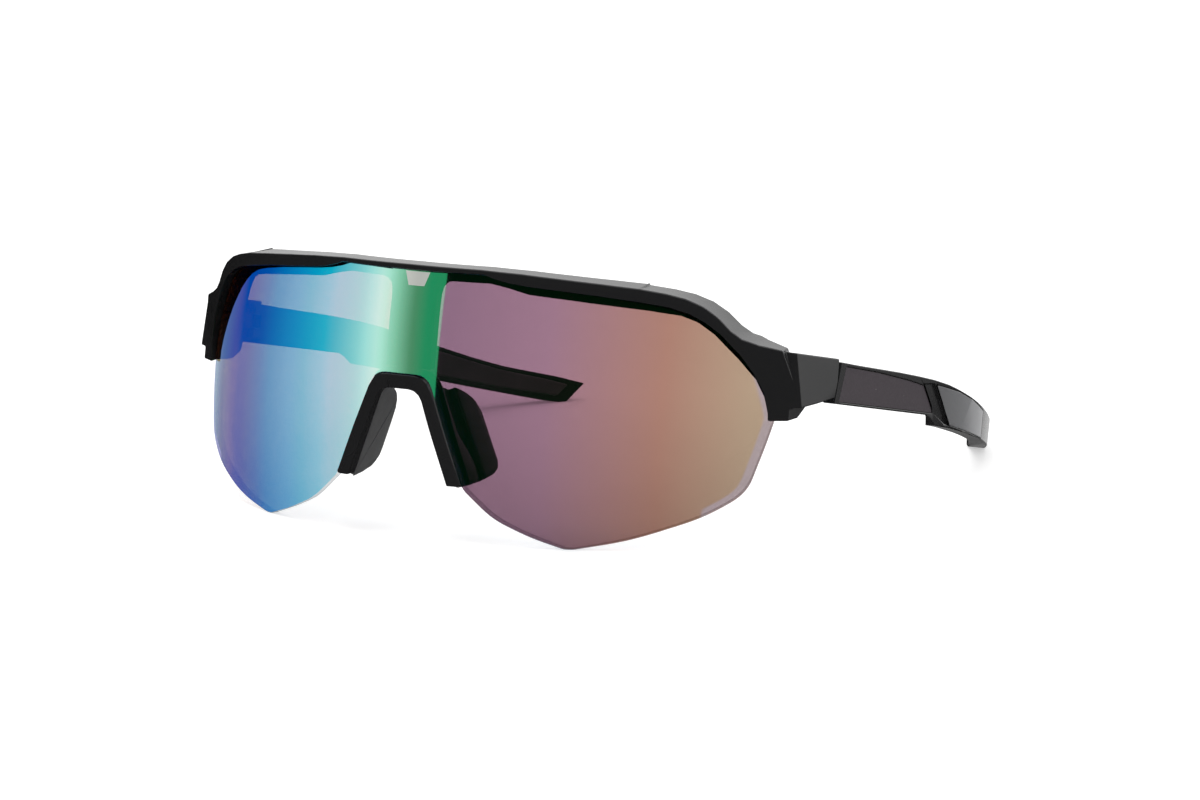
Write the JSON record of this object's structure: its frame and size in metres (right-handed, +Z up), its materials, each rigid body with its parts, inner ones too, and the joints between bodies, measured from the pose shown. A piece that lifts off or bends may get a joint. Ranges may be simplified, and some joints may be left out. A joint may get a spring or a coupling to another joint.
{
  "type": "shield sunglasses",
  "caption": "Wrap-around shield sunglasses with one mirrored lens, a brow frame, nose pads and folding temples, standing open.",
  "frame": {"origin": "on the table, below the middle of the standing glasses' overall box", "axes": "+X to the wearer's left, +Y from the lens back along the open temples, +Z up; the lens faces -Y"},
  "size_m": [0.1432, 0.1488, 0.0534],
  "materials": {
    "frame_black": "injection-moulded nylon, polished, black",
    "lens_mirror": "moulded polycarbonate, rose-brown tint, blue to green mirror coating on the outside",
    "bridge_black": "injection-moulded nylon, smooth, black",
    "pad_rubber": "soft moulded rubber, satin, dark grey",
    "insert_brass": "turned brass",
    "screw_steel": "turned stainless steel",
    "inlay_matt": "moulded plastic, fine matt, dark purple-grey",
    "cover_grey": "moulded plastic, satin, mid grey"
  },
  "bodies": {
    "front": {"brow_frame": "frame_black", "shield_lens": "lens_mirror", "nose_bridge": "bridge_black", "nose_pad_left": "pad_rubber", "nose_pad_right": "pad_rubber", "hinge_insert_left": "insert_brass", "hinge_insert_right": "insert_brass", "hinge_screw_left": "screw_steel", "hinge_screw_right": "screw_steel"},
    "temple_left": {"temple_arm_left": "frame_black", "temple_inlay_left": "inlay_matt", "temple_cover_left": "cover_grey", "temple_grip_left": "pad_rubber"},
    "temple_right": {"temple_arm_right": "frame_black", "temple_inlay_right": "inlay_matt", "temple_cover_right": "cover_grey", "temple_grip_right": "pad_rubber"}
  },
  "joints": [
    {"name": "hinge_left", "type": "hinge", "parent": "front", "child": "temple_left", "pos_m": [0.0674, -0.02608, 0.0303], "axis": [0, 0.2079, 0.9781], "range_deg": [0, 75]},
    {"name": "hinge_right", "type": "hinge", "parent": "front", "child": "temple_right", "pos_m": [-0.0674, -0.02608, 0.0303], "axis": [0, -0.2079, -0.9781], "range_deg": [0, 92]}
  ]
}
